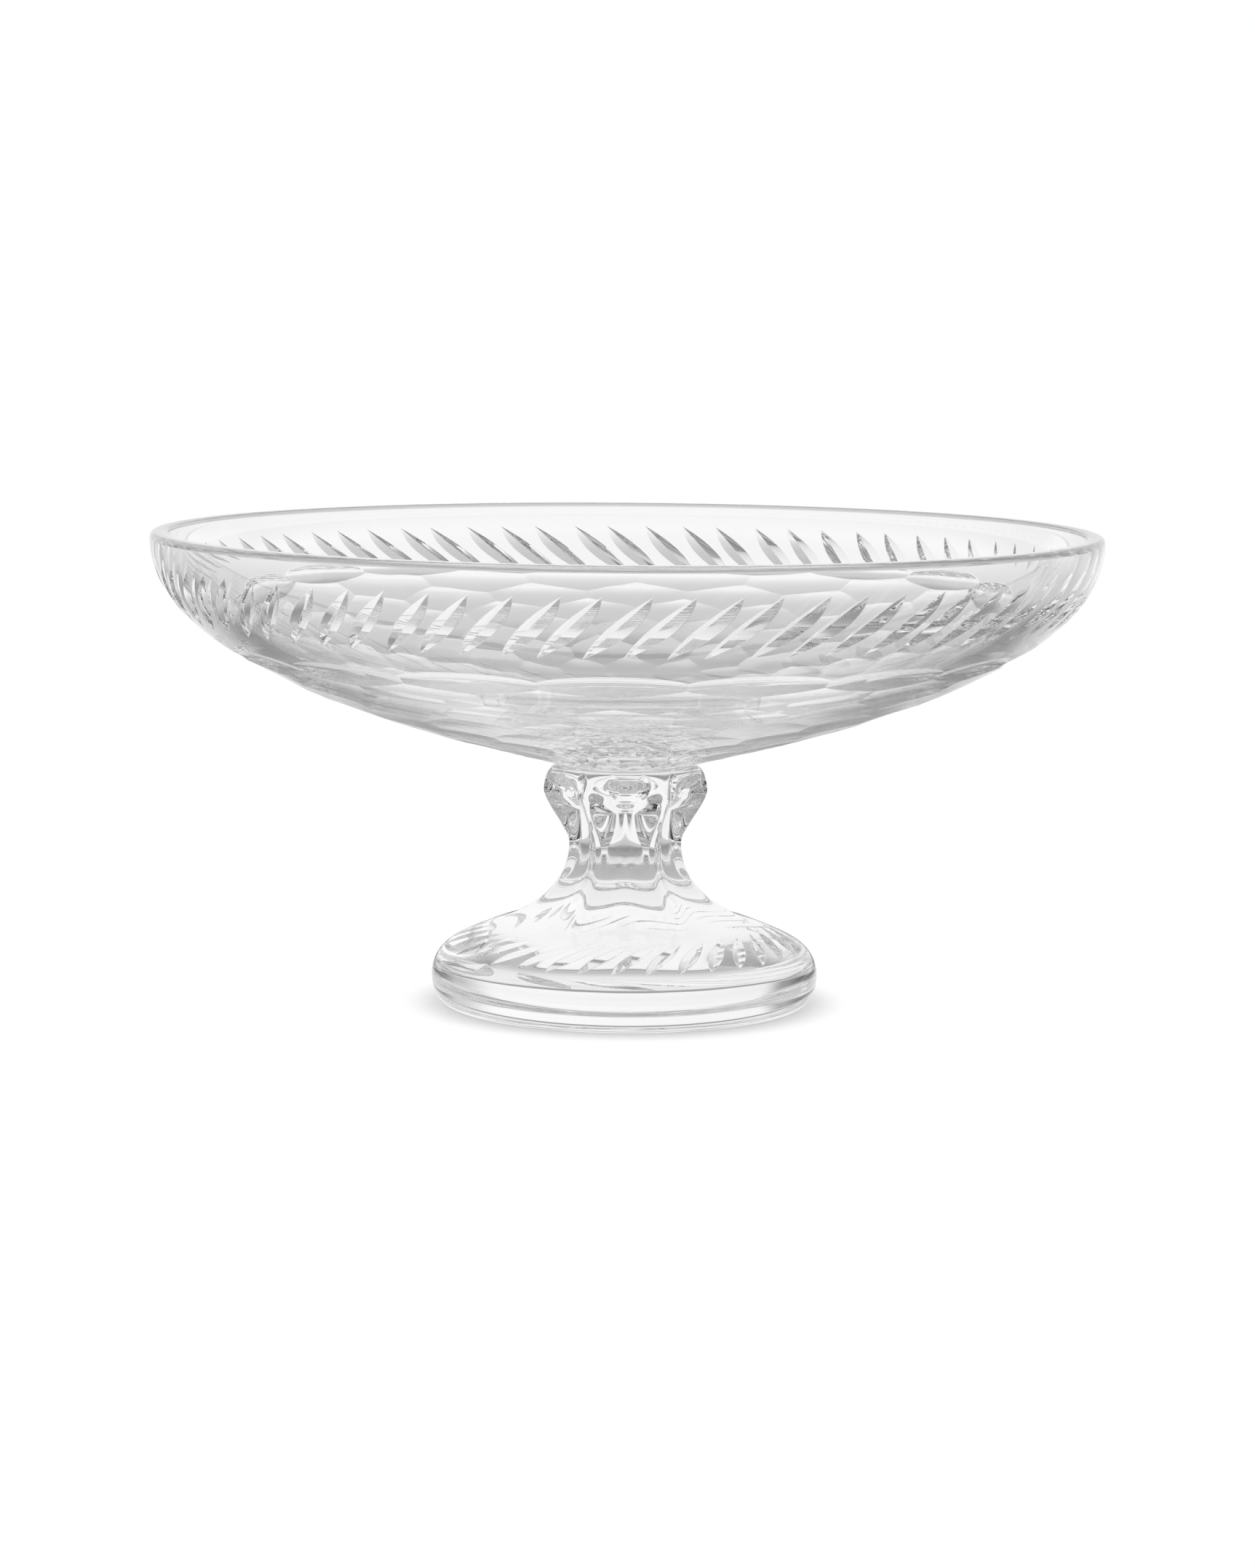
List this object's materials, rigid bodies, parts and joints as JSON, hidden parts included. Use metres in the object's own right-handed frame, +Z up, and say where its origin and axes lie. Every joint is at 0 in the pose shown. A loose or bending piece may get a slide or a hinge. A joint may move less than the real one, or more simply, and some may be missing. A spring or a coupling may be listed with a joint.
{
  "type": "footed glass bowl",
  "caption": "Wide shallow cut-crystal bowl on a short fluted stem and round domed foot, for fruit or as a table centrepiece.",
  "frame": {"origin": "centre of the foot's flat underside, on the table", "axes": "+Z up along the bowl's axis; -Y towards the viewer of the picture, +X to their right"},
  "size_m": [0.3, 0.3, 0.1505],
  "materials": {
    "crystal": "clear, cut and polished",
    "clear_cement": "clear cured cement"
  },
  "bodies": {
    "root": {"bowl": "crystal", "cement_film": "clear_cement", "pedestal": "crystal"}
  },
  "joints": []
}
